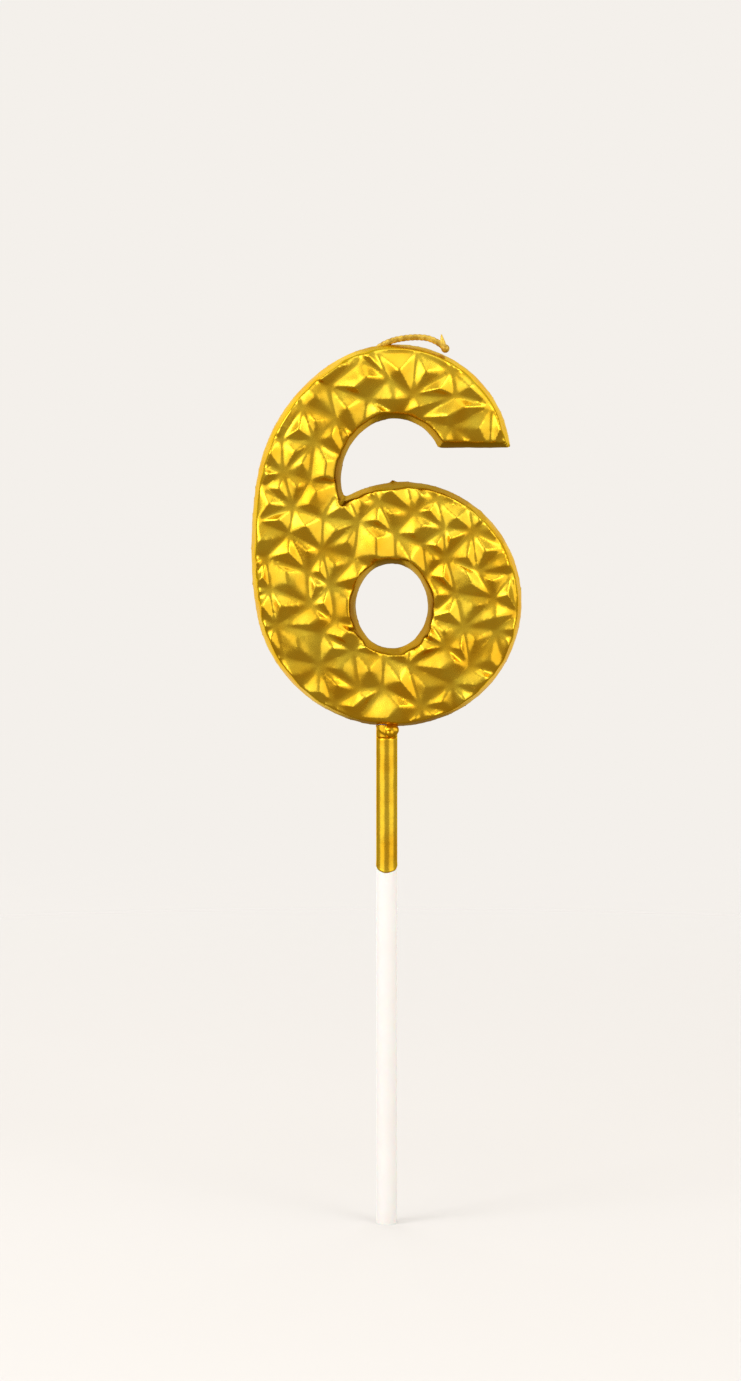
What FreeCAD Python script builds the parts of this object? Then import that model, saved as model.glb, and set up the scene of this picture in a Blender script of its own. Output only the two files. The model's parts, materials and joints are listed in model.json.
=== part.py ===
import FreeCAD, Part
import Sketcher
import math
import os
import random

# A moulded number candle on a pick: a cast wax numeral 6 with a faceted front and back, a thin
# metallic lacquer film over it, a wick that leaves its crown, and a round plastic pick below.
# +Z is up along the pick, +X is across the numeral, the front faces -Y and the origin is the
# centre of the pick's lower end. Millimetres and degrees.

V = FreeCAD.Vector

SIZES = {
    # pick: a round tube with a smaller anchor that is cast into the wax
    "pick_exposed_length": 95.9,
    "pick_radius": 2.0,
    "pick_bore_radius": 1.3,
    "pick_roof": 2.0,  # solid plastic above the bore, below the wax
    "anchor_length": 10.0,
    "anchor_radius": 1.55,
    "barb_radius": 1.75,
    "barb_height": 1.6,
    "barb_pitch": 3.0,
    # lacquer
    "film_thickness": 0.2,
    "pick_film_length": 26.4,  # how far the lacquer reaches down the pick
    "pick_film_slant": 33.0,
    "neck_length": 1.9,  # set lacquer round the joint, a film thicker than the pick
    "drop_radius": 0.9,
    "drop_x": 0.6,
    # mould: a drafted wall either side of the parting plane
    "draft_angle": 12.0,
    "prism_margin": 3.6,  # from the rim to past the highest facet
    "arm_tip_x": 23.5,
    "arm_tip_height": 52.9,
    "outline_heading": 96.0,
    "arm_outer_radius": 22.0,
    "shoulder_radius": 32.0,
    "back_radius": 79.5,
    "heel_radius": 26.5,
    "belly_radius": 23.5,
    "bowl_top_radius": 22.5,
    "counter_heading": 106.0,
    "counter_left_radius": 12.2,
    "counter_right_radius": 8.8,
    "hole_half_width": 6.8,
    "hole_half_height": 8.0,
    "hole_end_radius": 6.0,
    "hole_x": 0.95,
    "hole_height": 23.0,
    "nub_radius": 0.55,
    "nub_x": 1.1,
    # facets: low pyramids on a shaken triangular lattice
    "facet_pitch": 6.5,
    "facet_shake": 1.45,
    "facet_tilt": 19.0,
    "facet_peak": 1.4,
    "facet_peak_spread": 0.3,
    "facet_wobble": 0.25,
    "rim_half_thickness": 4.4,
    "crown_rise": 0.6,
    "crown_run": 7.0,
    # wick
    "wick_radius": 0.6,
    "wick_tip_radius": 0.8,
}

# Turn of each outline arc in degrees, left turns positive, from the arm's tip round to the notch.
OUTLINE_ARCS = [
    ("arm_outer_radius", 116.0),
    ("shoulder_radius", 48.0),
    ("back_radius", 18.0),
    ("heel_radius", 101.0),
    ("belly_radius", 99.0),
    ("bowl_top_radius", 92.0),
]
COUNTER_ARCS = [
    ("counter_left_radius", -68.5),
    ("counter_right_radius", -106.0),
]

# Route of the wick, x and height above the numeral's base, from its start on top of the anchor: a
# buried run up the back stroke, then the free tail over the crown.
WICK_ROUTE = [
    (-10.8, 13.2),
    (-16.6, 23.0),
    (-16.9, 39.0),
    (-12.8, 54.6),
    (-9.4, 62.6),
    (-4.8, 69.2),
    (-0.4, 73.0),
    (5.0, 74.0),
    (9.2, 73.5),
    (11.2, 71.6),
]

FRONT_SEED = 6
BACK_SEED = 9
QUAD_SHARE = 0.5  # share of lattice rhombs that carry one four-sided raised facet
QUAD_GROWTH = 1.15  # how much taller a four-sided facet is
ROOF_SHARE = 0.45  # share of the four-sided facets that end in a ridge, not a point
ROOF_HALF_RIDGE = 0.22  # half the ridge, as a share of the facet's length

doc = FreeCAD.newDocument("NumberCandle")
sheet = doc.addObject("Spreadsheet::Sheet", "Sizes")
for row, (name, value) in enumerate(SIZES.items(), start=1):
    sheet.set("A%d" % row, name)
    sheet.set("B%d" % row, str(value))
    sheet.setAlias("B%d" % row, name)
doc.recompute()


def size(name):
    """A driving size, read back from the sheet."""
    return float(sheet.get(name))


def add(kind, name, **bound):
    """A document object whose properties are bound to expressions over the sheet."""
    obj = doc.addObject(kind, name)
    for prop, expression in bound.items():
        obj.setExpression(prop.replace("__", "."), expression)
    return obj


def combine(kind, name, first, others):
    """A Part boolean of one object with one or several others."""
    tool = others[0]
    if len(others) > 1:
        tool = doc.addObject("Part::MultiFuse", name + "_tool")
        tool.Shapes = others
    obj = doc.addObject(kind, name)
    obj.Base = first
    obj.Tool = tool
    return obj


def feature(name, shape):
    """A plain feature that holds a shape made with Part's own functions."""
    obj = doc.addObject("Part::Feature", name)
    obj.Shape = shape
    return obj


# ---------------------------------------------------------------- outline of the numeral


def arc_run(start, heading, arcs):
    """Tangent arcs from start; heading in degrees. Gives the arcs and the last point."""
    curves = []
    point = start
    angle = math.radians(heading)
    for name, turn in arcs:
        radius = size(name)
        side = math.copysign(1.0, turn)
        centre = point + V(-math.sin(angle), math.cos(angle), 0) * (radius * side)
        spoke = point - centre
        turned = [FreeCAD.Rotation(V(0, 0, 1), turn * share).multVec(spoke) for share in (0.5, 1.0)]
        curves.append(Part.Arc(point, centre + turned[0], centre + turned[1]))
        point = centre + turned[1]
        angle += math.radians(turn)
    return curves, point


def oval(centre, half_width, half_height, end_radius):
    """Four tangent arcs: two ends of end_radius and two longer sides."""
    rise = half_height - end_radius
    side_radius = (half_width**2 + rise**2 - end_radius**2) / (2 * (half_width - end_radius))
    reach = side_radius - half_width
    swing = math.atan2(rise, reach)
    corner = V(side_radius * math.cos(swing) - reach, side_radius * math.sin(swing), 0)
    corners = [V(sx * corner.x, sy * corner.y, 0) for sx, sy in ((1, -1), (1, 1), (-1, 1), (-1, -1))]
    middles = [V(half_width, 0, 0), V(0, half_height, 0), V(-half_width, 0, 0), V(0, -half_height, 0)]
    curves = []
    for k, middle in enumerate(middles):
        first = centre + corners[k]
        last = centre + corners[(k + 1) % 4]
        curves.append(Part.Arc(first, centre + middle, last))
    return curves


def numeral_sketch():
    """The numeral's outline and its bowl hole at the parting plane, drawn in the XZ plane."""
    start = V(size("arm_tip_x"), size("arm_tip_height"), 0)
    outer, notch = arc_run(start, size("outline_heading"), OUTLINE_ARCS)
    counter, corner = arc_run(notch, size("counter_heading"), COUNTER_ARCS)
    closing = [Part.LineSegment(corner, start)]
    hole_centre = V(size("hole_x"), size("hole_height"), 0)
    hole = oval(
        hole_centre,
        size("hole_half_width"),
        size("hole_half_height"),
        size("hole_end_radius"),
    )
    lowest = Part.Wire([Part.Edge(curve) for curve in outer]).BoundBox.YMin
    sketch = doc.addObject("Sketcher::SketchObject", "Outline")
    for curve in outer + counter + closing + hole:
        curve.translate(V(0, -lowest, 0))
        sketch.addGeometry(curve, False)
    for index, (name, turn) in enumerate(OUTLINE_ARCS + COUNTER_ARCS):
        constraint = sketch.addConstraint(Sketcher.Constraint("Radius", index, size(name)))
        sketch.renameConstraint(constraint, name)
        sketch.setExpression("Constraints." + name, "Sizes." + name)
    sketch.Placement.Rotation = FreeCAD.Rotation(V(1, 0, 0), 90)
    sketch.setExpression("Placement.Base.z", "Sizes.pick_exposed_length")
    return sketch


def by_length(wires):
    """Wires with the longest first."""
    return sorted(wires, key=lambda wire: -wire.Length)


def drafted(name, base):
    """Both mould halves over one outline, narrowing away from the parting plane."""
    prism = add(
        "Part::Extrusion",
        name,
        LengthFwd="Sizes.rim_half_thickness + Sizes.prism_margin",
        LengthRev="Sizes.rim_half_thickness + Sizes.prism_margin",
        TaperAngle="-Sizes.draft_angle",
        TaperAngleRev="-Sizes.draft_angle",
    )
    prism.Base = base
    prism.DirMode = "Custom"
    prism.Dir = V(0, -1, 0)
    prism.Solid = True
    return prism


# ---------------------------------------------------------------- faceted front and back


def lattice_nodes(area):
    """Rows of lattice points that cover area with a border, before they are shaken."""
    pitch = size("facet_pitch")
    row_step = pitch * math.sqrt(3) / 2
    reach = area.DiagonalLength / 2 + pitch
    rows = math.ceil(reach / row_step)
    columns = math.ceil(reach / pitch)
    turn = FreeCAD.Rotation(V(0, 1, 0), size("facet_tilt"))
    nodes = []
    for row in range(-rows, rows + 1):
        offset = pitch / 2 if row % 2 else 0
        line = [V(column * pitch + offset, 0, row * row_step) for column in range(-columns, columns + 1)]
        nodes.append([area.Center + turn.multVec(point) for point in line])
    return nodes


def shaken(nodes, seed):
    """The same rows with every inner point moved a little at random."""
    dice = random.Random(seed)
    shake = size("facet_shake")
    moved = [list(line) for line in nodes]
    for line in moved[1:-1]:
        for k in range(1, len(line) - 1):
            line[k] = line[k] + V(dice.uniform(-shake, shake), 0, dice.uniform(-shake, shake))
    return moved


def cell_loops(rows, columns, seed):
    """Base loops of the pyramids as (row, column) keys: rhombs or pairs of triangles."""
    dice = random.Random(seed)
    loops = []
    for row in range(rows - 1):
        for column in range(columns - 1):
            low = [(row, column), (row, column + 1)]
            high = [(row + 1, column), (row + 1, column + 1)]
            loop = [low[0], low[1], high[1], high[0]]
            if dice.random() < QUAD_SHARE:
                loops.append(loop)
            elif row % 2:
                loops.append([loop[0], loop[1], loop[2]])
                loops.append([loop[0], loop[2], loop[3]])
            else:
                loops.append([loop[0], loop[1], loop[3]])
                loops.append([loop[1], loop[2], loop[3]])
    return loops


def rise_over(outline_face, point):
    """How far the base of the facets has risen above the rim at a point, for the crown."""
    inside = outline_face.isInside(point, 0.01, True)
    if not inside:
        return 0.0
    gap = outline_face.OuterWire.distToShape(Part.Vertex(point))[0]
    for wire in outline_face.Wires:
        gap = min(gap, wire.distToShape(Part.Vertex(point))[0])
    share = min(1.0, gap / size("crown_run"))
    return size("crown_rise") * share * (2 - share)


def raised_facet(corners, side, dice):
    """Triangles of one raised facet over its base loop: a point, or a ridge on some rhombs."""
    weights = [dice.uniform(0.6, 1.4) for corner in corners]
    middle = V()
    for corner, weight in zip(corners, weights):
        middle = middle + corner * (weight / sum(weights))
    growth = QUAD_GROWTH if len(corners) == 4 else 1.0
    spread = size("facet_peak_spread")
    height = size("facet_peak") * growth * dice.uniform(1 - spread, 1 + spread)
    peak = middle + V(0, side * height, 0)
    if len(corners) == 3 or dice.random() > ROOF_SHARE:
        pairs = zip(corners, corners[1:] + corners[:1])
        return [(first, second, peak) for first, second in pairs]
    a, b, c, d = corners
    half_ridge = (a + b - c - d) * (ROOF_HALF_RIDGE / 2)
    half_ridge.y = 0
    near = peak + half_ridge
    far = peak - half_ridge
    return [(a, b, near), (b, c, far), (b, far, near), (c, d, far), (d, a, near), (d, near, far)]


def faceted_side(nodes, seed, outline_face, side):
    """One faceted face of the numeral: its triangles and its border, side -1 front or 1 back."""
    dice = random.Random(seed * 7 + 1)
    moved = shaken(nodes, seed)
    last_row = len(moved) - 1
    last_column = len(moved[0]) - 1
    rim = size("rim_half_thickness")
    wobble = size("facet_wobble")
    for r, line in enumerate(moved):
        for c, point in enumerate(line):
            on_border = r in (0, last_row) or c in (0, last_column)
            level = 0.0 if on_border else dice.uniform(-wobble, wobble)
            level += rim + rise_over(outline_face, point)
            line[c] = V(point.x, side * level, point.z)
    triangles = []
    for loop in cell_loops(last_row + 1, last_column + 1, seed):
        corners = [moved[r][c] for r, c in loop]
        triangles += raised_facet(corners, side, dice)
    border = moved[0] + [line[-1] for line in moved[1:-1]]
    border += moved[-1][::-1] + [line[0] for line in moved[-2:0:-1]]
    return triangles, border


def facet_slab(name, outline_face, drop):
    """A slab with both faces faceted, its surface drop below the lacquered one."""
    nodes = lattice_nodes(outline_face.BoundBox)
    front, front_border = faceted_side(nodes, FRONT_SEED, outline_face, -1)
    back, back_border = faceted_side(nodes, BACK_SEED, outline_face, 1)
    faces = []
    for triangles, inward in ((front, V(0, drop, 0)), (back, V(0, -drop, 0))):
        for corners in triangles:
            placed = [corner + inward for corner in corners]
            faces.append(Part.Face(Part.makePolygon(placed + placed[:1])))
    count = len(front_border)
    for k in range(count):
        after = (k + 1) % count
        corners = [
            front_border[k] + V(0, drop, 0),
            front_border[after] + V(0, drop, 0),
            back_border[after] + V(0, -drop, 0),
            back_border[k] + V(0, -drop, 0),
        ]
        faces.append(Part.Face(Part.makePolygon(corners + corners[:1])))
    solid = Part.Solid(Part.Shell(faces))
    if solid.Volume < 0:
        solid.reverse()
    return feature(name, solid)


def numeral_form(name, outline, outline_face, drop, nub_radius):
    """The numeral as one solid: drafted outline, faceted faces and the small sprue nub."""
    prism = drafted(name + "_prism", outline)
    slab = facet_slab(name + "_slab", outline_face, drop)
    form = combine("Part::Common", name + "_faceted", prism, [slab])
    nub = add("Part::Sphere", name + "_nub", Radius=nub_radius, Placement__Base__x="Sizes.nub_x")
    line = Part.makeLine(V(size("nub_x"), 0, 0), V(size("nub_x"), 0, size("arm_tip_height") * 4))
    hits = outline_face.Wires[0].distToShape(line)[1]
    crossings = sorted(hit[1].z for hit in hits)
    nub.Placement.Base = V(size("nub_x"), 0, crossings[1])
    whole = doc.addObject("Part::Fuse", name)
    whole.Base = form
    whole.Tool = nub
    return whole


outline = numeral_sketch()
doc.recompute()
wires = by_length(outline.Shape.Wires)
outline_face = Part.Face(wires)
film = size("film_thickness")
inset = [
    wires[0].makeOffset2D(-film, 2, False, False, True),
    wires[1].makeOffset2D(film, 2, False, False, True),
]
inner_outline = feature("Inner_outline", Part.Compound(inset))

outer_form = numeral_form("Outer_form", outline, outline_face, 0.0, "Sizes.nub_radius")
inner_form = numeral_form(
    "Inner_form",
    inner_outline,
    outline_face,
    film,
    "Sizes.nub_radius - Sizes.film_thickness",
)

# ---------------------------------------------------------------- wick


def route_wire(points):
    """Straight runs joined by tangent arcs as large as their runs allow."""
    edges = []
    last = points[0]
    for before, corner, after in zip(points, points[1:], points[2:]):
        run_in = (before - corner).normalize()
        run_out = (after - corner).normalize()
        reach = 0.45 * min((corner - before).Length, (after - corner).Length)
        half_turn = (math.pi - run_in.getAngle(run_out)) / 2
        radius = reach / math.tan(half_turn)
        first = corner + run_in * reach
        end = corner + run_out * reach
        inward = (run_in + run_out).normalize()
        middle = corner + inward * (radius / math.cos(half_turn) - radius)
        edges.append(Part.makeLine(last, first))
        edges.append(Part.Arc(first, middle, end).toShape())
        last = end
    edges.append(Part.makeLine(last, points[-1]))
    return Part.Wire(edges)


base_height = size("pick_exposed_length")
wick_start = (0.0, size("anchor_length") + size("wick_radius"))
wick_points = [V(x, 0, base_height + z) for x, z in [wick_start] + WICK_ROUTE]
wick_path = feature("Wick_path", route_wire(wick_points))
wick_section = add("Part::Circle", "Wick_section", Radius="Sizes.wick_radius")
wick_section.Placement.Base = wick_points[0]
start_run = wick_points[1] - wick_points[0]
wick_section.Placement.Rotation = FreeCAD.Rotation(V(0, 0, 1), start_run)
wick_run = doc.addObject("Part::Sweep", "Wick_run")
wick_run.Sections = [wick_section]
wick_run.Spine = (wick_path, ["Edge%d" % (k + 1) for k in range(len(wick_path.Shape.Edges))])
wick_run.Solid = True
wick_tip = add("Part::Sphere", "Wick_tip", Radius="Sizes.wick_tip_radius")
wick_tip.Placement.Base = wick_points[-1]
wick = doc.addObject("Part::Fuse", "Wick")
wick.Base = wick_run
wick.Tool = wick_tip

# ---------------------------------------------------------------- pick, its film and the neck


def round_bar(name, radius, bottom, height):
    """A cylinder on the pick's axis; radius, bottom and height are expressions."""
    return add("Part::Cylinder", name, Radius=radius, Height=height, Placement__Base__z=bottom)


# The stem runs a little way into the numeral, where the anchor takes over.
stem = round_bar(
    "Stem",
    "Sizes.pick_radius - Sizes.film_thickness",
    "0",
    "Sizes.pick_exposed_length + Sizes.pick_radius / 2",
)
anchor = round_bar(
    "Anchor",
    "Sizes.anchor_radius",
    "Sizes.pick_exposed_length",
    "Sizes.anchor_length",
)
barbs = []
for index in range(int(size("anchor_length") / size("barb_pitch")) - 1):
    barb = add(
        "Part::Cone",
        "Barb%d" % (index + 1),
        Radius1="Sizes.barb_radius",
        Radius2="Sizes.anchor_radius",
        Height="Sizes.barb_height",
        Placement__Base__z="Sizes.pick_exposed_length + Sizes.barb_pitch * %d" % (index + 1),
    )
    barbs.append(barb)

# Lacquer and bare plastic share one outer radius below the neck, and a slanted cut parts them.
full_bar = round_bar(
    "Full_bar",
    "Sizes.pick_radius",
    "0",
    "Sizes.pick_exposed_length - Sizes.neck_length",
)
sleeve = combine("Part::Cut", "Sleeve", full_bar, [stem])
edge_tool = add(
    "Part::Box",
    "Film_edge_tool",
    Length="8 * Sizes.pick_film_length",
    Width="8 * Sizes.pick_film_length",
    Height="4 * Sizes.pick_film_length",
)
half_tool = 4 * size("pick_film_length")
slant = FreeCAD.Rotation(V(1, 0, 0), size("pick_film_slant"))
edge_centre = V(0, 0, size("pick_exposed_length") - size("pick_film_length"))
edge_corner = edge_centre + slant.multVec(V(-half_tool, -half_tool, 0))
edge_tool.Placement = FreeCAD.Placement(edge_corner, slant)
pick_film = combine("Part::Common", "Pick_film", sleeve, [edge_tool])
bare_sleeve = combine("Part::Cut", "Bare_sleeve", sleeve, [edge_tool])

pick_outside = doc.addObject("Part::MultiFuse", "Pick_outside")
pick_outside.Shapes = [stem, bare_sleeve, anchor] + barbs
pick_bore = round_bar(
    "Pick_bore",
    "Sizes.pick_bore_radius",
    "0",
    "Sizes.pick_exposed_length - Sizes.pick_roof",
)
pick = combine("Part::Cut", "Pick", pick_outside, [pick_bore])

# The neck of set lacquer at the joint, and the drop that hangs from it at the front right.
collar = round_bar(
    "Neck_collar",
    "Sizes.pick_radius + Sizes.film_thickness",
    "Sizes.pick_exposed_length - Sizes.neck_length",
    "Sizes.neck_length + Sizes.pick_radius",
)
drop = add(
    "Part::Sphere",
    "Neck_drop",
    Radius="Sizes.drop_radius",
    Placement__Base__x="Sizes.drop_x",
    Placement__Base__y="-Sizes.pick_radius",
    Placement__Base__z="Sizes.pick_exposed_length - Sizes.neck_length + Sizes.drop_radius",
)
neck = doc.addObject("Part::Fuse", "Neck")
neck.Base = collar
neck.Tool = drop
bead = combine("Part::Cut", "Bead", neck, [stem, outer_form])

# ---------------------------------------------------------------- numeral

wax = combine("Part::Cut", "Wax", inner_form, [pick_outside, wick])
skin = combine("Part::Cut", "Skin", outer_form, [inner_form, stem, wick])

NODES = {
    "wax_body": wax,
    "gold_skin": skin,
    "wick": wick,
    "pick": pick,
    "pick_gold_film": pick_film,
    "neck_bead": bead,
}
for label, node in NODES.items():
    node.Label = label
doc.recompute()

# ---------------------------------------------------------------- checks and files

for obj in doc.Objects:
    if "Invalid" in obj.State or "Error" in obj.State:
        raise RuntimeError("%s did not build: %s" % (obj.Name, obj.State))

swept = math.pi * size("wick_radius") ** 2 * wick_path.Shape.Length
if abs(wick_run.Shape.Volume / swept - 1) > 0.01:
    raise RuntimeError("the wick's sweep has the wrong volume")

os.makedirs("parts", exist_ok=True)
for label, node in NODES.items():
    shape = node.Shape
    if shape.isNull() or not shape.isValid() or len(shape.Solids) != 1:
        raise RuntimeError("%s is not one valid solid" % label)
    shape.Solids[0].exportStep("parts/%s.step" % label)
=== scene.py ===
import json
import logging
import math
from dataclasses import dataclass
from enum import Enum

import bmesh
import bpy
import numpy as np
from mathutils import Matrix, Vector, noise
from mathutils.bvhtree import BVHTree

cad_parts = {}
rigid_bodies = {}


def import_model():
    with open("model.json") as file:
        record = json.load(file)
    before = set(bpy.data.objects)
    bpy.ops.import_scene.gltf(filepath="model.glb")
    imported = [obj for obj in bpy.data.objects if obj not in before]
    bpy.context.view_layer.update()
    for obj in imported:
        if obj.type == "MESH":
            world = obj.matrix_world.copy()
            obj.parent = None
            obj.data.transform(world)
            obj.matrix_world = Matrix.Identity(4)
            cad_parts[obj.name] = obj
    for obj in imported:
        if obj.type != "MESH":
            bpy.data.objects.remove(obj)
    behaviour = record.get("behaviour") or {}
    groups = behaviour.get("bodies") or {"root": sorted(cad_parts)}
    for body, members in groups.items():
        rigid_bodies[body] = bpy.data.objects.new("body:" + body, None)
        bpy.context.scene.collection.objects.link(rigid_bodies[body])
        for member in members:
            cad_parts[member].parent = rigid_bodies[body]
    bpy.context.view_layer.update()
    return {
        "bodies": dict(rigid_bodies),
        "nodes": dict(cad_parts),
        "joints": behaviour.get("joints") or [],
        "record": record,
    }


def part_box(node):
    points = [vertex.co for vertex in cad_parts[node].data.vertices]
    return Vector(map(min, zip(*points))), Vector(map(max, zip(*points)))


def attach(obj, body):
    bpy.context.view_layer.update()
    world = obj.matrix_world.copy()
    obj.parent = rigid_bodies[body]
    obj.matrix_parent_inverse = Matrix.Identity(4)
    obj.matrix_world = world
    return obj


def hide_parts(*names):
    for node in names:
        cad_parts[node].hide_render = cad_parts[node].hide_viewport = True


log = logging.getLogger("candle")
MM = 0.001
PAINTED_COUNTER_SHADE = "painted_counter_shade"  # vertex attribute of painted shade: 1 on the walls inside the numeral's counters, where the lacquer is darkened to paint shade


class Slot(Enum):
    """The record's material slots."""

    WAX = "wax"
    GOLD = "gold_lacquer"
    COTTON = "waxed_cotton"
    PLASTIC = "white_plastic"


# ------------------------------------------------------------------------------ small helpers


def linear(hex_colour: str) -> tuple[float, float, float, float]:
    """Turns an sRGB hex colour into linear RGBA.

    Args:
        hex_colour: Six hex digits.

    Returns:
        Red, green, blue and an alpha of 1, in linear light.
    """
    channels = [int(hex_colour[k : k + 2], 16) / 255 for k in (0, 2, 4)]
    light = [c / 12.92 if c <= 0.04045 else ((c + 0.055) / 1.055) ** 2.4 for c in channels]
    return (light[0], light[1], light[2], 1.0)


def add_node(
    tree: bpy.types.NodeTree,
    kind: str,
    settings: dict | None = None,
    values: dict | None = None,
    links: dict | None = None,
) -> bpy.types.Node:
    """Adds one node with its settings, socket values and incoming links.

    Args:
        tree: Node tree that takes the node.
        kind: The node's type name.
        settings: Attributes of the node itself.
        values: Input socket names or numbers with their values.
        links: Input socket names or numbers with the output socket that feeds each.

    Returns:
        The new node.
    """
    node = tree.nodes.new(kind)
    for name, value in (settings or {}).items():
        setattr(node, name, value)
    for name, value in (values or {}).items():
        node.inputs[name].default_value = value
    for name, socket in (links or {}).items():
        tree.links.new(socket, node.inputs[name])
    return node


def new_material(name: str) -> tuple[bpy.types.Material, bpy.types.NodeTree]:
    """Makes an empty node material.

    Args:
        name: The material's name.

    Returns:
        The material and its cleared node tree.
    """
    material = bpy.data.materials.new(name)
    material.use_nodes = True
    material.node_tree.nodes.clear()
    return material, material.node_tree


def new_object(name: str, mesh: bpy.types.Mesh) -> bpy.types.Object:
    """Links a mesh into the scene as an object.

    Args:
        name: The object's name.
        mesh: Its mesh.

    Returns:
        The object.
    """
    piece = bpy.data.objects.new(name, mesh)
    bpy.context.scene.collection.objects.link(piece)
    return piece


def mesh_from(name: str, points: list, faces: list) -> bpy.types.Mesh:
    """Makes a smooth-shaded mesh from points and faces.

    Args:
        name: The mesh's name.
        points: Vertex places in metres.
        faces: Vertex numbers of each face.

    Returns:
        The mesh.
    """
    mesh = bpy.data.meshes.new(name)
    mesh.from_pydata([tuple(p) for p in points], [], faces)
    mesh.validate()
    mesh.shade_smooth()
    return mesh


def apply_modifiers(piece: bpy.types.Object) -> None:
    """Replaces a piece's mesh by what its modifiers make of it.

    Args:
        piece: Object whose modifiers are applied and removed.
    """
    graph = bpy.context.evaluated_depsgraph_get()
    baked = bpy.data.meshes.new_from_object(piece.evaluated_get(graph))
    piece.modifiers.clear()
    piece.data = baked


def points_of(mesh: bpy.types.Mesh) -> np.ndarray:
    """Reads a mesh's vertex places as rows of x, y, z."""
    flat = np.empty(len(mesh.vertices) * 3, dtype=np.float64)
    mesh.vertices.foreach_get("co", flat)
    return flat.reshape(-1, 3)


def set_points(mesh: bpy.types.Mesh, points: np.ndarray) -> None:
    """Writes rows of x, y, z back into a mesh."""
    mesh.vertices.foreach_set("co", points.ravel())
    mesh.update()


def normals_of(mesh: bpy.types.Mesh) -> np.ndarray:
    """Reads a mesh's vertex normals as rows of x, y, z."""
    flat = np.empty(len(mesh.vertices) * 3, dtype=np.float32)
    mesh.vertex_normals.foreach_get("vector", flat)
    return flat.reshape(-1, 3).astype(np.float64)


def relax(mesh: bpy.types.Mesh, passes: int, share: float = 0.5) -> None:
    """Rounds a mesh's edges by moving each vertex towards its neighbours' mean.

    Args:
        mesh: The mesh to round.
        passes: How many times to do it.
        share: How far each vertex goes towards the mean.
    """
    ends = np.empty(len(mesh.edges) * 2, dtype=np.int64)
    mesh.edges.foreach_get("vertices", ends)
    first, second = ends.reshape(-1, 2).T
    count = len(mesh.vertices)
    degree = np.bincount(first, minlength=count) + np.bincount(second, minlength=count)
    points = points_of(mesh)
    for _ in range(passes):
        total = np.empty_like(points)
        for axis in range(3):
            total[:, axis] = np.bincount(first, points[second, axis], minlength=count)
            total[:, axis] += np.bincount(second, points[first, axis], minlength=count)
        mean = total / np.maximum(degree, 1)[:, None]
        points += (mean - points) * share
    set_points(mesh, points)


def voxel_remesh(piece: bpy.types.Object, voxel: float) -> None:
    """Rebuilds a closed piece as an even mesh.

    Args:
        piece: The object to rebuild.
        voxel: Edge length of the new mesh in metres.
    """
    remesh = piece.modifiers.new("even", "REMESH")
    remesh.mode = "VOXEL"
    remesh.voxel_size = voxel
    remesh.adaptivity = 0.0
    apply_modifiers(piece)


def tree_of(mesh: bpy.types.Mesh) -> BVHTree:
    """Makes a search tree over a mesh's faces."""
    faces = [list(polygon.vertices) for polygon in mesh.polygons]
    return BVHTree.FromPolygons([v.co.copy() for v in mesh.vertices], faces)


def is_inside(tree: BVHTree, point: Vector) -> bool:
    """Tells whether a point lies inside a closed mesh by counting crossings.

    Args:
        tree: Search tree of the closed mesh.
        point: The point to test.

    Returns:
        True when the point is inside.
    """
    heading = Vector((0.137, 0.973, 0.211)).normalized()
    crossings = 0
    start = point
    while True:
        hit = tree.ray_cast(start, heading)[0]
        if hit is None:
            return crossings % 2 == 1
        crossings += 1
        start = hit + heading * 1e-6


def finish_piece(piece: bpy.types.Object, slot: Slot, *nodes: str) -> None:
    """Hands a piece to the frame: its body and the nodes it stands for.

    Args:
        piece: The finished object.
        slot: The record's material slot; not used.
        nodes: CAD nodes that the piece replaces.
    """
    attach(piece, "root")
    if nodes:
        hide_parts(*nodes)
    log.info("%s: %d faces", piece.name, len(piece.data.polygons))


# ------------------------------------------------------------------------------ finishes


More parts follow.
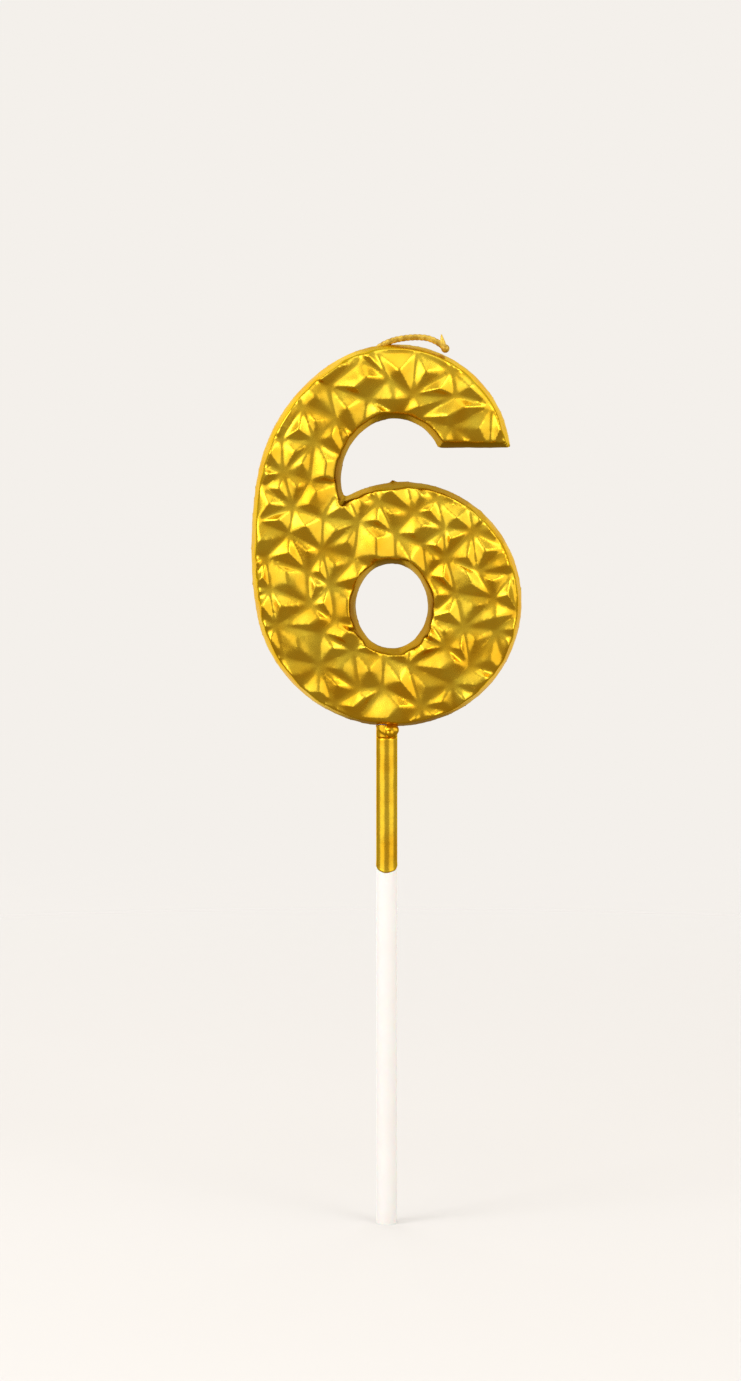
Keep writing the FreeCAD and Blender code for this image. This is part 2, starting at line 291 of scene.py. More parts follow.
@dataclass(frozen=True)
class GoldLacquer:
    """Vacuum-bright metallic lacquer, dipped over wax.

    A saturated yellow mirror softened by the wax beneath: it clips to lemon where it catches the
    lamps, turns amber beside them and deep brown where it sees nothing bright. The tint at a
    glancing angle stays gold, because the light goes through the yellow resin twice.
    """

    base: str = "FDD63C"
    deep: str = "F6BE26"
    # painted shade: the dark brown that the walls inside the counters are coloured with
    painted_shade_colour: str = "84500A"
    edge: str = "D6C47C"
    roughness: float = 0.25
    lump_mm: float = 2.4
    peel_mm: float = 0.5
    flake_mm: float = 0.16  # coarser than real flake, so that it shows
    lump_height_mm: float = 0.085
    peel_height_mm: float = 0.006

    def build(self) -> bpy.types.Material:
        """Builds the material.

        Returns:
            The finished material.
        """
        material, tree = new_material("Gold_lacquer_dipped")
        place = add_node(tree, "ShaderNodeTexCoord").outputs["Object"]
        tint = add_node(
            tree,
            "ShaderNodeTexNoise",
            values={"Scale": 1 / (6 * MM), "Detail": 2.0, "Roughness": 0.5},
            links={"Vector": place},
        )
        blend = add_node(
            tree,
            "ShaderNodeMapRange",
            values={"From Min": 0.35, "From Max": 0.65},
            links={"Value": tint.outputs["Fac"]},
        )
        colour = add_node(
            tree,
            "ShaderNodeMix",
            {"data_type": "RGBA"},
            {"A": linear(self.base), "B": linear(self.deep)},
            {"Factor": blend.outputs["Result"]},
        )
        # Painted shade: the colour is mixed towards the painted shade brown where the counter attribute is
        # high
        painted_counter_shade = add_node(tree, "ShaderNodeAttribute", {"attribute_name": PAINTED_COUNTER_SHADE})
        shaded = add_node(
            tree,
            "ShaderNodeMix",
            {"data_type": "RGBA"},
            {"B": linear(self.painted_shade_colour)},
            {"Factor": painted_counter_shade.outputs["Fac"], "A": colour.outputs["Result"]},
        )
        flake = add_node(
            tree,
            "ShaderNodeTexNoise",
            values={"Scale": 1 / (self.flake_mm * MM), "Detail": 1.0},
            links={"Vector": place},
        )
        rough = add_node(
            tree,
            "ShaderNodeMapRange",
            values={
                "From Min": 0.3,
                "From Max": 0.7,
                "To Min": self.roughness - 0.05,
                "To Max": self.roughness + 0.07,
            },
            links={"Value": flake.outputs["Fac"]},
        )
        lumps = add_node(
            tree,
            "ShaderNodeTexNoise",
            values={"Scale": 1 / (self.lump_mm * MM), "Detail": 1.0, "Roughness": 0.4},
            links={"Vector": place},
        )
        lump_bump = add_node(
            tree,
            "ShaderNodeBump",
            values={"Strength": 1.0, "Distance": self.lump_height_mm * MM},
            links={"Height": lumps.outputs["Fac"]},
        )
        peel = add_node(
            tree,
            "ShaderNodeTexNoise",
            values={"Scale": 1 / (self.peel_mm * MM), "Detail": 2.0, "Roughness": 0.55},
            links={"Vector": place},
        )
        peel_bump = add_node(
            tree,
            "ShaderNodeBump",
            values={"Strength": 1.0, "Distance": self.peel_height_mm * MM},
            links={"Height": peel.outputs["Fac"], "Normal": lump_bump.outputs["Normal"]},
        )
        shader = add_node(
            tree,
            "ShaderNodeBsdfPrincipled",
            values={
                "Metallic": 1.0,
                "Specular Tint": linear(self.edge),
                "Coat Weight": 0.04,
                "Coat Roughness": 0.12,
            },
            links={
                "Base Color": shaded.outputs["Result"],
                "Roughness": rough.outputs["Result"],
                "Normal": peel_bump.outputs["Normal"],
            },
        )
        add_node(tree, "ShaderNodeOutputMaterial", links={"Surface": shader.outputs["BSDF"]})
        return material


@dataclass(frozen=True)
class CastParaffin:
    """Cast paraffin wax: a pale, slightly see-through yellow with soft mottling, under the film."""

    base: str = "F2DFA6"
    mottle: str = "E3C878"
    mottle_mm: float = 5.0

    def build(self) -> bpy.types.Material:
        """Builds the material.

        Returns:
            The finished material.
        """
        material, tree = new_material("Paraffin_cast")
        place = add_node(tree, "ShaderNodeTexCoord").outputs["Object"]
        cloud = add_node(
            tree,
            "ShaderNodeTexNoise",
            values={"Scale": 1 / (self.mottle_mm * MM), "Detail": 3.0},
            links={"Vector": place},
        )
        colour = add_node(
            tree,
            "ShaderNodeMix",
            {"data_type": "RGBA"},
            {"A": linear(self.base), "B": linear(self.mottle)},
            {"Factor": cloud.outputs["Fac"]},
        )
        bump = add_node(
            tree,
            "ShaderNodeBump",
            values={"Strength": 0.4, "Distance": 0.02 * MM},
            links={"Height": cloud.outputs["Fac"]},
        )
        shader = add_node(
            tree,
            "ShaderNodeBsdfPrincipled",
            values={
                "Roughness": 0.45,
                "IOR": 1.43,
                "Subsurface Weight": 0.4,
                "Subsurface Scale": 1.5 * MM,
            },
            links={"Base Color": colour.outputs["Result"], "Normal": bump.outputs["Normal"]},
        )
        add_node(tree, "ShaderNodeOutputMaterial", links={"Surface": shader.outputs["BSDF"]})
        return material


@dataclass(frozen=True)
class ExtrudedPolypropylene:
    """Extruded white polypropylene: milky, satin, with faint draw lines along the tube."""

    base: str = "EAE8E6"
    shade: str = "E2DFDC"
    line_mm: float = 0.25
    roughness: float = 0.36

    def build(self) -> bpy.types.Material:
        """Builds the material.

        Returns:
            The finished material.
        """
        material, tree = new_material("Polypropylene_extruded")
        place = add_node(tree, "ShaderNodeTexCoord").outputs["Object"]
        stretched = add_node(
            tree,
            "ShaderNodeMapping",
            values={"Scale": (1.0, 1.0, 0.02)},
            links={"Vector": place},
        )
        lines = add_node(
            tree,
            "ShaderNodeTexNoise",
            values={"Scale": 1 / (self.line_mm * MM), "Detail": 3.0, "Roughness": 0.6},
            links={"Vector": stretched.outputs["Vector"]},
        )
        cloud = add_node(
            tree,
            "ShaderNodeTexNoise",
            values={"Scale": 1 / (9 * MM), "Detail": 2.0},
            links={"Vector": place},
        )
        colour = add_node(
            tree,
            "ShaderNodeMix",
            {"data_type": "RGBA"},
            {"A": linear(self.base), "B": linear(self.shade)},
            {"Factor": cloud.outputs["Fac"]},
        )
        rough = add_node(
            tree,
            "ShaderNodeMapRange",
            values={"To Min": self.roughness - 0.06, "To Max": self.roughness + 0.08},
            links={"Value": lines.outputs["Fac"]},
        )
        bump = add_node(
            tree,
            "ShaderNodeBump",
            values={"Strength": 0.6, "Distance": 0.008 * MM},
            links={"Height": lines.outputs["Fac"]},
        )
        shader = add_node(
            tree,
            "ShaderNodeBsdfPrincipled",
            values={
                "IOR": 1.49,
                "Subsurface Weight": 0.25,
                "Subsurface Scale": 0.8 * MM,
            },
            links={
                "Base Color": colour.outputs["Result"],
                "Roughness": rough.outputs["Result"],
                "Normal": bump.outputs["Normal"],
            },
        )
        add_node(tree, "ShaderNodeOutputMaterial", links={"Surface": shader.outputs["BSDF"]})
        return material


@dataclass(frozen=True)
class DippedCotton:
    """Braided cotton soaked in wax and lacquer: duller and browner gold than the numeral."""

    bright: str = "E6C04C"
    dull: str = "B48C28"
    fibre_mm: float = 0.12

    def build(self) -> bpy.types.Material:
        """Builds the material.

        Returns:
            The finished material.
        """
        material, tree = new_material("Cotton_braided_dipped")
        place = add_node(tree, "ShaderNodeTexCoord").outputs["Object"]
        fibre = add_node(
            tree,
            "ShaderNodeTexNoise",
            values={"Scale": 1 / (self.fibre_mm * MM), "Detail": 3.0, "Roughness": 0.65},
            links={"Vector": place},
        )
        patch = add_node(
            tree,
            "ShaderNodeTexNoise",
            values={"Scale": 1 / (1.1 * MM), "Detail": 2.0},
            links={"Vector": place},
        )
        spread = add_node(
            tree,
            "ShaderNodeMapRange",
            values={"From Min": 0.38, "From Max": 0.62},
            links={"Value": patch.outputs["Fac"]},
        )
        colour = add_node(
            tree,
            "ShaderNodeMix",
            {"data_type": "RGBA"},
            {"A": linear(self.bright), "B": linear(self.dull)},
            {"Factor": spread.outputs["Result"]},
        )
        rough = add_node(
            tree,
            "ShaderNodeMapRange",
            values={"To Min": 0.35, "To Max": 0.6},
            links={"Value": patch.outputs["Fac"]},
        )
        bump = add_node(
            tree,
            "ShaderNodeBump",
            values={"Strength": 0.5, "Distance": 0.03 * MM},
            links={"Height": fibre.outputs["Fac"]},
        )
        shader = add_node(
            tree,
            "ShaderNodeBsdfPrincipled",
            values={"Metallic": 0.55},
            links={
                "Base Color": colour.outputs["Result"],
                "Roughness": rough.outputs["Result"],
                "Normal": bump.outputs["Normal"],
            },
        )
        add_node(tree, "ShaderNodeOutputMaterial", links={"Surface": shader.outputs["BSDF"]})
        return material


# ------------------------------------------------------------------------------ numeral


@dataclass
class Numeral:
    """The wax numeral and the lacquer film over it. Lengths in millimetres."""

    voxel: float = 0.3
    edge_passes: int = 4
    pillow_passes: int = 45
    pillow_share: float = 0.42
    crest_loss: float = 0.06
    film_aim: float = 0.05
    least_film: float = 0.0
    cover_passes: int = 2
    wax_set_back: float = 0.1
    flash_half_width: float = 0.3
    flash_height: float = 0.3
    flash_wave: float = 1.3
    lump_size: float = 3.0
    lump_height: float = 0.06
    reach: float = 30.0
    light_from_above: float = 0.35
    light_from_below: float = 0.5

    def outer_shell(self, frame: dict) -> bpy.types.Object:
        """Copies the film's outer surface and closes its two openings.


        Returns:
            A closed object with the film's outer shape.
        """
        wax = tree_of(frame["nodes"]["wax_body"].data)
        work = bmesh.new()
        work.from_mesh(frame["nodes"]["gold_skin"].data)
        bmesh.ops.remove_doubles(work, verts=work.verts, dist=1e-6)
        work.normal_update()
        inner = []
        for face in work.faces:
            probe = face.calc_center_median() + face.normal * (0.05 * MM)
            if is_inside(wax, probe):
                inner.append(face)
        bmesh.ops.delete(work, geom=inner, context="FACES")
        rim = [edge for edge in work.edges if edge.is_boundary]
        bmesh.ops.holes_fill(work, edges=rim, sides=0)
        mesh = bpy.data.meshes.new("Numeral_skin")
        work.to_mesh(mesh)
        work.free()
        return new_object("Numeral_skin", mesh)

    def round_edges(self, shell: bpy.types.Object) -> None:
        """Gives the sharp facets the soft edges of a dipped moulding.

        Args:
            shell: The closed outer surface.
        """
        sharp = tree_of(shell.data)
        voxel_remesh(shell, self.voxel * MM)
        points = points_of(shell.data)
        for k, point in enumerate(points):
            nearest = sharp.find_nearest(Vector(point))[0]
            points[k] = nearest
        set_points(shell.data, points)
        relax(shell.data, self.edge_passes)
        crisp = points_of(shell.data)
        normals = normals_of(shell.data)
        relax(shell.data, self.pillow_passes)
        shift = (points_of(shell.data) - crisp) * self.pillow_share
        sunk = np.minimum(0.0, (shift * normals).sum(axis=1) + self.crest_loss * MM)
        set_points(shell.data, crisp + shift - normals * sunk[:, None])
        relax(shell.data, 1)

    def weather(self, shell: bpy.types.Object) -> None:
        """Adds soft lumps and the wavy flash line at the parting plane.

        Args:
            shell: The rounded surface.
        """
        points = points_of(shell.data)
        normals = normals_of(shell.data)
        for k, point in enumerate(points):
            spot = Vector(point)
            lump = noise.noise(spot / (self.lump_size * MM)) * self.lump_height
            band = max(0.0, 1.0 - abs(point[1]) / (self.flash_half_width * MM))
            wave = 0.45 + 0.9 * noise.noise(spot / (self.flash_wave * MM))
            flash = band * band * max(0.0, wave) * self.flash_height
            points[k] += normals[k] * ((lump + flash) * MM)
        set_points(shell.data, points)

    def cover(self, shell: bpy.types.Object, frame: dict) -> None:
        """Lifts film points that sank into the wax, and eases the lift so that it leaves no crease.

        Args:
            shell: The surface to lift.
        """
        wax = tree_of(frame["nodes"]["wax_body"].data)
        for margin in (self.film_aim, self.least_film):
            points = points_of(shell.data)
            for k, point in enumerate(points):
                base, facing, _, _ = wax.find_nearest(Vector(point))
                depth = (Vector(point) - base).dot(facing)
                if depth < margin * MM:
                    points[k] += np.array(facing) * (margin * MM - depth)
            set_points(shell.data, points)
            if margin == self.film_aim:
                relax(shell.data, self.cover_passes)
        shell.data.shade_smooth()

    def paint_counter_shade(self, shell: bpy.types.Object) -> None:
        """Writes how enclosed each wall point is, as painted shade: the lacquer is darkened there, less on
        walls that face up or down.

        Args:
            shell: The finished surface.
        """
        tree = tree_of(shell.data)
        fan = [Matrix.Rotation(math.radians(turn), 3, "Y") for turn in (-60, -30, 0, 30, 60)]
        values = np.zeros(len(shell.data.vertices), dtype=np.float32)
        for k, (point, normal) in enumerate(zip(points_of(shell.data), normals_of(shell.data))):
            wall = min(1.0, max(0.0, (0.7 - abs(normal[1])) / 0.3))
            if wall == 0.0:
                continue
            outward = Vector((normal[0], 0, normal[2])).normalized()
            start = Vector(point) + outward * (0.3 * MM)
            hits = sum(tree.ray_cast(start, turn @ outward, self.reach * MM)[0] is not None for turn in fan)
            # Painted light: walls that face down or up are darkened less, as if they caught more light
            light = self.light_from_below * max(0.0, -normal[2])
            light += self.light_from_above * max(0.0, normal[2])
            values[k] = wall * min(1.0, hits / 3) * (1.0 - light)
        shell.data.attributes.new(PAINTED_COUNTER_SHADE, "FLOAT", "POINT").data.foreach_set("value", values)

    def build(self, frame: dict, gold: bpy.types.Material, wax: bpy.types.Material) -> None:
        """Builds the film piece and dresses the wax beneath it.

        Args:
            gold: The lacquer.
            wax: The cast wax.
        """
        shell = self.outer_shell(frame)
        self.round_edges(shell)
        self.weather(shell)
        self.cover(shell, frame)
        self.paint_counter_shade(shell)
        shell.data.materials.clear()
        shell.data.materials.append(gold)
        finish_piece(shell, Slot.GOLD, "gold_skin")
        body = frame["nodes"]["wax_body"]
        body.data.materials.clear()
        body.data.materials.append(wax)
        # The softened film cuts across the wax's crests, so the wax is held inside the film.
        finer = body.modifiers.new("Finer", "SUBSURF")
        finer.subdivision_type = "SIMPLE"
        finer.levels = finer.render_levels = 1
        under = body.modifiers.new("Under_the_film", "SHRINKWRAP")
        under.target = shell
        under.wrap_method = "NEAREST_SURFACEPOINT"
        under.wrap_mode = "INSIDE"
        under.offset = self.wax_set_back * MM
        log.info("wax_body dressed")


# ------------------------------------------------------------------------------ pick


@dataclass
class Pick:
    """The plastic pick, the film on its upper part and the neck of set lacquer."""

    segments: int = 96
    edge_round: float = 0.18
    film_proud: float = 0.035
    film_overlap: float = 0.18
    film_slant: float = 33.0
    film_rows: int = 40
    film_ripple: float = 0.012
    brim_swell: float = 0.035
    brim_height: float = 0.7
    ragged: float = 0.12
    neck_voxel: float = 0.09
    neck_proud: float = 0.17
    neck_lift: float = 2.4
    neck_passes: int = 8
    drop_turn: float = 35.0
    gob_radius: float = 1.25
    gob_place: tuple = (0.9, -1.65, 1.4)

    def tube(self, frame: dict, plastic: bpy.types.Material) -> None:
        """Dresses the CAD tube and softens its cut edges.

        Args:
            plastic: The white plastic.
        """
        node = frame["nodes"]["pick"]
        node.data.materials.clear()
        node.data.materials.append(plastic)
        bevel = node.modifiers.new("cut edge", "BEVEL")
        bevel.width = self.edge_round * MM
        bevel.segments = 3
        bevel.limit_method = "ANGLE"
        bevel.angle_limit = math.radians(50)
        bevel.use_clamp_overlap = True
        log.info("pick dressed")

    def film(self, gold: bpy.types.Material) -> None:
        """Builds the lacquer sleeve with its slanted, slightly ragged lower brim.

        Args:
            gold: The lacquer.
        """
        low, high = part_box("pick_gold_film")
        radius = (high.x - low.x) / 2
        middle = low.z + radius * math.tan(math.radians(self.film_slant))
        heights = [0.0, 0.04, 0.1, 0.18, 0.3, 0.5, 0.75, 1.0]
        rows = len(heights) + self.film_rows
        points = []
        for row in range(rows):
            for k in range(self.segments):
                angle = math.tau * k / self.segments
                way = Vector((math.cos(angle), math.sin(angle), 0))
                brim = middle + way.y * radius * math.tan(math.radians(self.film_slant))
                wander = noise.noise(way * 1.7 + Vector((0, 0, 3.1))) * self.ragged
                brim += (wander - self.film_overlap) * MM
                if row < len(heights):
                    share = heights[row]
                    z = brim + share * self.brim_height * MM
                    swell = math.sin(math.pi * min(1.0, share * 1.25)) * self.brim_swell
                    proud = self.film_proud * min(1.0, math.sqrt(share * 4)) + swell
                else:
                    start = brim + self.brim_height * MM
                    share = (row - len(heights) + 1) / self.film_rows
                    z = start + (high.z - start) * share
                    proud = self.film_proud
                spot = way * (radius + proud * MM) + Vector((0, 0, z))
                ripple = noise.noise(Vector((way.x * 1.5, way.y * 1.5, z / (4 * MM))))
                points.append(spot + way * ripple * self.film_ripple * MM)
        faces = []
        for row in range(rows - 1):
            for k in range(self.segments):
                after = (k + 1) % self.segments
                base = row * self.segments
                faces.append(
                    [base + k, base + after, base + self.segments + after, base + self.segments + k]
                )
        last = (rows - 1) * self.segments
        faces.append([last + k for k in range(self.segments)])
        piece = new_object("Pick_film", mesh_from("Pick_film", points, faces))
        piece.data.materials.append(gold)
        finish_piece(piece, Slot.GOLD, "pick_gold_film")

    def neck(self, frame: dict, gold: bpy.types.Material) -> None:
        """Builds the neck and its hanging drop as one soft mass of lacquer.

        Args:
            gold: The lacquer.
        """
        low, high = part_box("neck_bead")
        mesh = bpy.data.meshes.new("Neck_drop")
        work = bmesh.new()
        work.from_mesh(frame["nodes"]["neck_bead"].data)
        gob = bmesh.ops.create_icosphere(work, subdivisions=4, radius=self.gob_radius * MM)
        bmesh.ops.scale(work, verts=gob["verts"], vec=(1.15, 0.85, 1.0))
        bmesh.ops.translate(work, verts=gob["verts"], vec=Vector(self.gob_place) * MM + Vector((0, 0, low.z)))
        work.to_mesh(mesh)
        work.free()
        piece = new_object("Neck_drop", mesh)
        voxel_remesh(piece, self.neck_voxel * MM)
        flush = (high.x - low.x) / 2 - self.neck_proud * MM
        points = points_of(piece.data)
        for point in points:
            radial = math.hypot(point[0], point[1])
            if radial > (high.x - low.x) / 2 + 0.05 * MM or radial < flush:
                continue
            turn = math.atan2(point[0], -point[1]) - math.radians(self.drop_turn)
            edge = low.z + self.neck_lift * MM * (0.5 - 0.5 * math.cos(turn))
            share = min(1.0, max(0.0, (point[2] - edge) / (0.5 * MM)))
            point[:2] *= (flush + (radial - flush) * share * share * (3 - 2 * share)) / radial
        set_points(piece.data, points)
        relax(piece.data, self.neck_passes)
        piece.data.shade_smooth()
        piece.data.materials.clear()
        piece.data.materials.append(gold)
        finish_piece(piece, Slot.GOLD, "neck_bead")

    def build(self, frame: dict, plastic: bpy.types.Material, gold: bpy.types.Material) -> None:
        """Builds the pick's pieces.

        Args:
            plastic: The white plastic.
            gold: The lacquer.
        """
        self.tube(frame, plastic)
        self.film(gold)
        self.neck(frame, gold)


# ------------------------------------------------------------------------------ wick


@dataclass
class Wick:
    """The braided wick: a plain buried run and a braided free tail. Lengths in millimetres."""

    anchor_length: float = 10.0
    radius: float = 0.6
    core_share: float = 0.92
    strand_radius: float = 0.33
    braid_width: float = 0.29
    braid_depth: float = 0.22
    braid_pitch: float = 2.6
    voxel: float = 0.07
    tip_radius: float = 0.82
    line_step: float = 0.12
    tail_from: float = 0.8  # share of the wick's length where the braid starts, inside the crown
    buried_share: float = 0.9
    spur_steps: tuple = (
        (-0.5, 0.0, 0.4, 0.62),
        (-0.65, 0.0, 1.3, 0.52),
        (-0.8, -0.05, 2.1, 0.3),
        (-0.9, -0.1, 2.8, 0.12),
    )
    route: tuple = (
        (0.0, 10.6),
        (-10.8, 13.2),
        (-16.6, 23.0),
        (-16.9, 39.0),
        (-12.8, 54.6),
        (-9.4, 62.6),
        (-4.8, 69.2),
        (-0.4, 73.0),
        (5.0, 74.0),
        (9.2, 73.5),
        (11.2, 71.6),
    )

    def line(self) -> list[Vector]:
        """Reads closely spaced points along the wick's smooth line.

        Returns:
            Points in metres from the pick to the free end.
        """
        curve = bpy.data.curves.new("Wick_line", "CURVE")
        curve.dimensions = "3D"
        curve.resolution_u = 32
        spline = curve.splines.new("NURBS")
        spline.points.add(len(self.route) - 1)
        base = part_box("pick")[1].z - self.anchor_length * MM
        for point, (x, height) in zip(spline.points, self.route):
            point.co = (x * MM, 0, base + height * MM, 1)
        spline.order_u = 3
        spline.use_endpoint_u = True
        holder = bpy.data.objects.new("Wick_line", curve)
        mesh = bpy.data.meshes.new_from_object(holder)
        places = [v.co.copy() for v in mesh.vertices]
        bpy.data.objects.remove(holder)
        return places

    @staticmethod
    def resampled(places: list[Vector], step: float) -> list[Vector]:
        """Spaces points evenly along a line.

        Args:
            places: The line's points.
            step: Distance between new points in metres.

        Returns:
            The evenly spaced points.
        """
        lengths = [0.0]
        for before, after in zip(places, places[1:]):
            lengths.append(lengths[-1] + (after - before).length)
        count = max(2, int(lengths[-1] / step))
        marks = np.linspace(0, lengths[-1], count)
        table = np.array([tuple(p) for p in places])
        axes = [np.interp(marks, lengths, table[:, axis]) for axis in range(3)]
        return [Vector(p) for p in zip(*axes)]

    @staticmethod
    def tube(path: list[Vector], radii: list[float], sides: int = 14) -> tuple[list, list]:
        """Makes a closed tube round a path.

        Args:
            path: Points along its middle.
            radii: Radius at each point in metres.
            sides: Points round each ring.

        Returns:
            The tube's points and faces.
        """
        points = []
        faces = []
        for k, place in enumerate(path):
            ahead = (path[min(k + 1, len(path) - 1)] - path[max(k - 1, 0)]).normalized()
            across = Vector((0, 1, 0))
            across = (across - ahead * across.dot(ahead)).normalized()
            up = ahead.cross(across)
            for s in range(sides):
                angle = math.tau * s / sides
                points.append(place + (across * math.cos(angle) + up * math.sin(angle)) * radii[k])
        for k in range(len(path) - 1):
            for s in range(sides):
                after = (s + 1) % sides
                base = k * sides
                faces.append([base + s, base + sides + s, base + sides + after, base + after])
        faces.append(list(range(sides)))
        last = (len(path) - 1) * sides
        faces.append([last + s for s in range(sides - 1, -1, -1)])
        return points, faces

    def strands(self, path: list[Vector]) -> list[list[Vector]]:
        """Plaits three strands round a path.

        Args:
            path: Evenly spaced points of the wick's middle.

        Returns:
            One list of points for each strand.
        """
        plaits = []
        for third in range(3):
            strand = []
            travelled = 0.0
            for k, place in enumerate(path):
                if k:
                    travelled += (place - path[k - 1]).length
                ahead = (path[min(k + 1, len(path) - 1)] - path[max(k - 1, 0)]).normalized()
                side = Vector((0, 1, 0))
                up = ahead.cross(side).normalized()
                turn = math.tau * (travelled / (self.braid_pitch * MM) + third / 3)
                offset = side * (math.sin(2 * turn) * self.braid_depth * MM)
                offset += up * (math.sin(turn) * self.braid_width * MM)
                strand.append(place + offset)
            plaits.append(strand)
        return plaits

    def merged(self, parts: list[tuple], clots: list[tuple] = ()) -> bpy.types.Mesh:
        """Joins tubes and balls into one mesh.

        Args:
            parts: Pairs of a path and its radii.
            clots: Pairs of a ball's centre and its radius.

        Returns:
            The joined mesh, its pieces still overlapping.
        """
        points = []
        faces = []
        for path, radii in parts:
            ring_points, ring_faces = self.tube(path, radii)
            faces += [[k + len(points) for k in face] for face in ring_faces]
            points += ring_points
        mesh = mesh_from("Wick", points, faces)
        work = bmesh.new()
        work.from_mesh(mesh)
        for centre, radius in clots:
            ball = bmesh.ops.create_icosphere(work, subdivisions=3, radius=radius)
            bmesh.ops.translate(work, verts=ball["verts"], vec=centre)
        bmesh.ops.recalc_face_normals(work, faces=work.faces)
        work.to_mesh(mesh)
        work.free()
        mesh.shade_smooth()
        return mesh

    def tail(self, path: list[Vector], cotton: bpy.types.Material) -> None:
        """Builds the free tail: a waxed braid with a clotted end and a stiff frayed spur.

        Args:
            path: The tail's middle line.
            cotton: The dipped cotton.
        """
        parts = [(path, [self.radius * self.core_share * MM] * len(path))]
        for strand in self.strands(path):
            parts.append((strand, [self.strand_radius * MM] * len(strand)))
        end = path[-1]
        spur = [end + Vector(step[:3]) * MM for step in self.spur_steps]
        parts.append((spur, [step[3] * MM for step in self.spur_steps]))
        clot = (end + Vector((-0.15, 0, 0.1)) * MM, self.tip_radius * MM)
        piece = new_object("Wick_braid", self.merged(parts, [clot]))
        voxel_remesh(piece, self.voxel * MM)
        relax(piece.data, 3)
        piece.data.shade_smooth()
        piece.data.materials.clear()
        piece.data.materials.append(cotton)
        finish_piece(piece, Slot.COTTON, "wick")

    def build(self, cotton: bpy.types.Material) -> None:
        """Builds the wick.

        Args:
            cotton: The dipped cotton.
        """
        line = self.resampled(self.line(), self.line_step * MM)
        crown = int(len(line) * self.tail_from)
        self.tail(line[crown:], cotton)
        buried = line[:crown:6] + [line[crown]]
        radii = [self.radius * self.buried_share * MM] * len(buried)
        run = new_object("Wick_buried_run", self.merged([(buried, radii)]))
        run.data.materials.append(cotton)
        finish_piece(run, Slot.COTTON, "wick")


# ------------------------------------------------------------------------------ studio


@dataclass
class Softbox:
    """A soft studio lamp that faces the object's middle. Lengths in metres, angles in degrees."""

    name: str
    azimuth: float
    elevation: float
    width: float
    height: float
    radiance: float
    tint: str = "FFFFFF"
    distance: float = 0.8

    def place(self, target: Vector) -> None:
        """Makes the lamp.

        Args:
            target: The point that it faces.
        """
        lamp = bpy.data.lights.new(self.name, "AREA")
        lamp.shape = "RECTANGLE"
        lamp.size = self.width
        lamp.size_y = self.height
        lamp.energy = self.radiance * math.pi * self.width * self.height
        lamp.color = linear(self.tint)[:3]
        holder = bpy.data.objects.new(self.name, lamp)
        bpy.context.scene.collection.objects.link(holder)
        turn = math.radians(self.azimuth)
        rise = math.radians(self.elevation)
        way = Vector((math.sin(turn) * math.cos(rise), -math.cos(turn) * math.cos(rise), math.sin(rise)))
        holder.location = target + way * self.distance
        holder.rotation_euler = (-way).to_track_quat("-Z", "Y").to_euler()
        holder.visible_camera = False


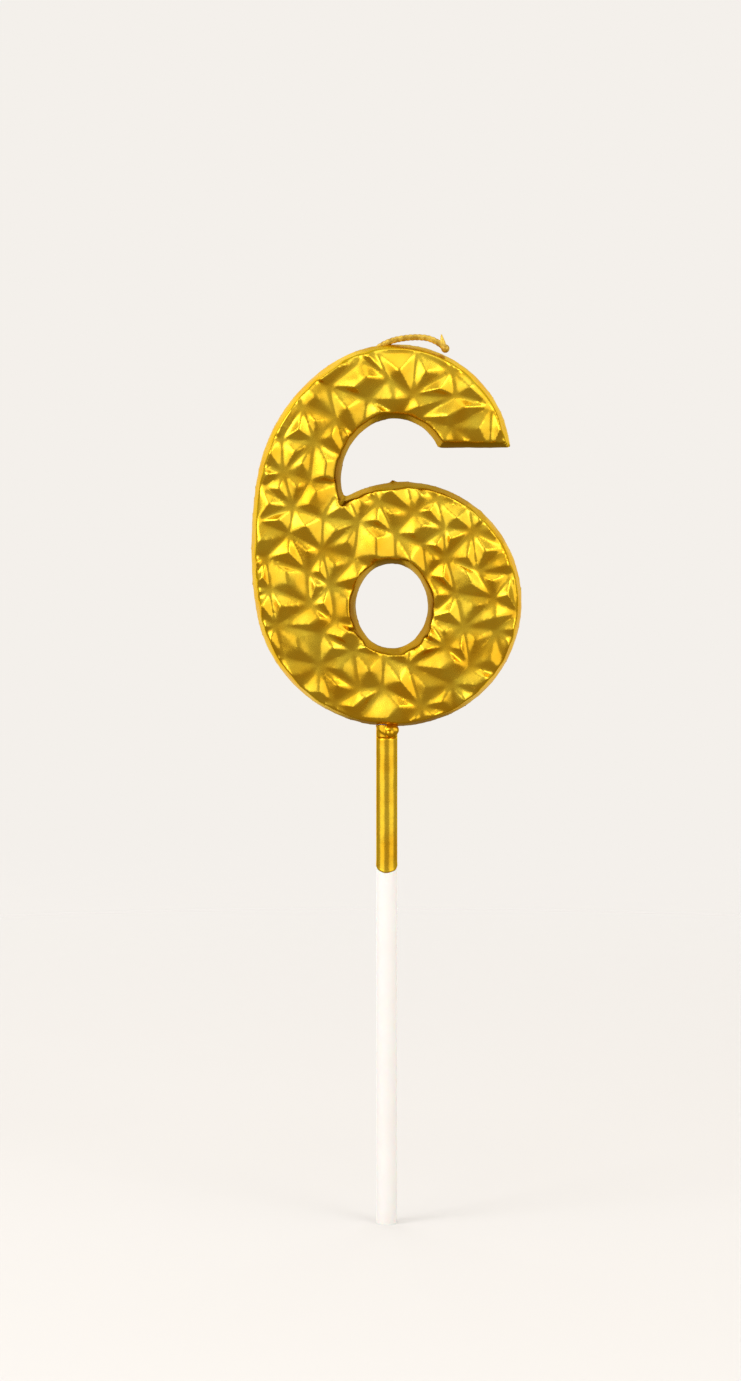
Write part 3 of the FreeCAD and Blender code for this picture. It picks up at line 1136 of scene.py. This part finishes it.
@dataclass
class Studio:
    """Pale floor, pale surround, soft lamps and the camera."""

    floor_colour: str = "DBD9D7"
    surround: str = "F4F0EB"
    mirrored_below: str = "93856F"
    mirrored_above: str = "C5C4C0"
    floor_radius: float = 0.65
    fade_from: float = 0.1
    lens: float = 85.0
    camera_distance: float = 0.621
    camera_elevation: float = 4.0
    aim: tuple = (-3.1, 0.0, 102.8)

    def floor(self) -> None:
        """Lays the floor under the pick's tip; it melts into the surround further out."""
        material, tree = new_material("Studio_floor")
        place = add_node(tree, "ShaderNodeTexCoord").outputs["Object"]
        grain = add_node(
            tree, "ShaderNodeTexNoise", values={"Scale": 30.0, "Detail": 2.0}, links={"Vector": place}
        )
        bump = add_node(
            tree,
            "ShaderNodeBump",
            values={"Strength": 0.05, "Distance": 0.001},
            links={"Height": grain.outputs["Fac"]},
        )
        shader = add_node(
            tree,
            "ShaderNodeBsdfPrincipled",
            values={"Base Color": linear(self.floor_colour), "Roughness": 0.9},
            links={"Normal": bump.outputs["Normal"]},
        )
        reach = add_node(tree, "ShaderNodeVectorMath", {"operation": "LENGTH"}, links={0: place})
        fade = add_node(
            tree,
            "ShaderNodeMapRange",
            {"interpolation_type": "SMOOTHSTEP"},
            {"From Min": self.fade_from, "From Max": self.floor_radius},
            {"Value": reach.outputs["Value"]},
        )
        clear = add_node(tree, "ShaderNodeBsdfTransparent")
        mixed = add_node(
            tree,
            "ShaderNodeMixShader",
            links={0: fade.outputs["Result"], 1: shader.outputs["BSDF"], 2: clear.outputs["BSDF"]},
        )
        add_node(tree, "ShaderNodeOutputMaterial", links={"Surface": mixed.outputs["Shader"]})
        work = bmesh.new()
        bmesh.ops.create_circle(work, cap_ends=True, segments=96, radius=self.floor_radius)
        mesh = bpy.data.meshes.new("Floor")
        work.to_mesh(mesh)
        work.free()
        floor = new_object("Floor", mesh)
        floor.data.materials.append(material)
        floor.visible_glossy = False

    def world(self) -> None:
        """Sets the surround: pale to the eye, graded from dim below to soft above in reflections."""
        world = bpy.data.worlds.new("Studio")
        bpy.context.scene.world = world
        world.use_nodes = True
        tree = world.node_tree
        tree.nodes.clear()
        way = add_node(tree, "ShaderNodeTexCoord").outputs["Generated"]
        parts = add_node(tree, "ShaderNodeSeparateXYZ", links={"Vector": way})
        rise = add_node(
            tree,
            "ShaderNodeMapRange",
            values={"From Min": -1.0, "From Max": 1.0},
            links={"Value": parts.outputs["Z"]},
        )
        ramp = add_node(tree, "ShaderNodeValToRGB", links={"Fac": rise.outputs["Result"]})
        ramp.color_ramp.elements[0].position = 0.25
        ramp.color_ramp.elements[0].color = linear(self.mirrored_below)
        ramp.color_ramp.elements[1].position = 0.75
        ramp.color_ramp.elements[1].color = linear(self.mirrored_above)
        mirrored = add_node(tree, "ShaderNodeLightPath").outputs["Is Glossy Ray"]
        pale = add_node(tree, "ShaderNodeBackground", values={"Color": linear(self.surround)})
        graded = add_node(tree, "ShaderNodeBackground", links={"Color": ramp.outputs["Color"]})
        mixed = add_node(
            tree,
            "ShaderNodeMixShader",
            links={0: mirrored, 1: pale.outputs["Background"], 2: graded.outputs["Background"]},
        )
        add_node(tree, "ShaderNodeOutputWorld", links={"Surface": mixed.outputs["Shader"]})

    def lamps(self) -> None:
        """Hangs the lamps round the object."""
        target = Vector((0, 0, 110 * MM))
        boxes = [
            Softbox("Left", -52, 16, 0.83, 0.95, 0.8),
            Softbox("Left core", -58, 24, 0.3, 0.42, 3.2, distance=0.74),
            Softbox("Right", 52, 14, 0.8, 0.9, 0.72, "FFF8EC"),
            Softbox("Right core", 44, 34, 0.22, 0.3, 2.6, distance=0.74),
            Softbox("Top", 0, 74, 0.6, 0.6, 0.8),
            Softbox("Back left", 204, 2, 0.45, 0.95, 1.0),
            Softbox("Back right", 156, 2, 0.35, 0.95, 0.85),
            Softbox("Back top", 180, 28, 0.3, 0.35, 0.45),
        ]
        for box in boxes:
            box.place(target)

    def camera(self) -> None:
        """Places the camera."""
        data = bpy.data.cameras.new("Camera")
        data.lens = self.lens
        data.sensor_width = 36.0
        data.clip_start = 0.01
        holder = bpy.data.objects.new("Camera", data)
        bpy.context.scene.collection.objects.link(holder)
        rise = math.radians(self.camera_elevation)
        target = Vector(self.aim) * MM
        back = Vector((0, -math.cos(rise), math.sin(rise)))
        holder.location = target + back * self.camera_distance
        holder.rotation_euler = (-back).to_track_quat("-Z", "Y").to_euler()
        bpy.context.scene.camera = holder

    def build(self) -> None:
        """Builds the whole studio."""
        self.floor()
        self.world()
        self.lamps()
        self.camera()
        bpy.context.scene.view_settings.view_transform = "Standard"
        log.info("studio ready")


def main() -> None:
    """Builds the studio and every piece in order."""
    logging.basicConfig(level=logging.INFO, format="%(name)s %(message)s")
    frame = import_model()
    Studio().build()
    gold = GoldLacquer().build()
    plastic = ExtrudedPolypropylene().build()
    Numeral().build(frame, gold, CastParaffin().build())
    Pick().build(frame, plastic, gold)
    Wick().build(DippedCotton().build())


if __name__ == "__main__":
    main()
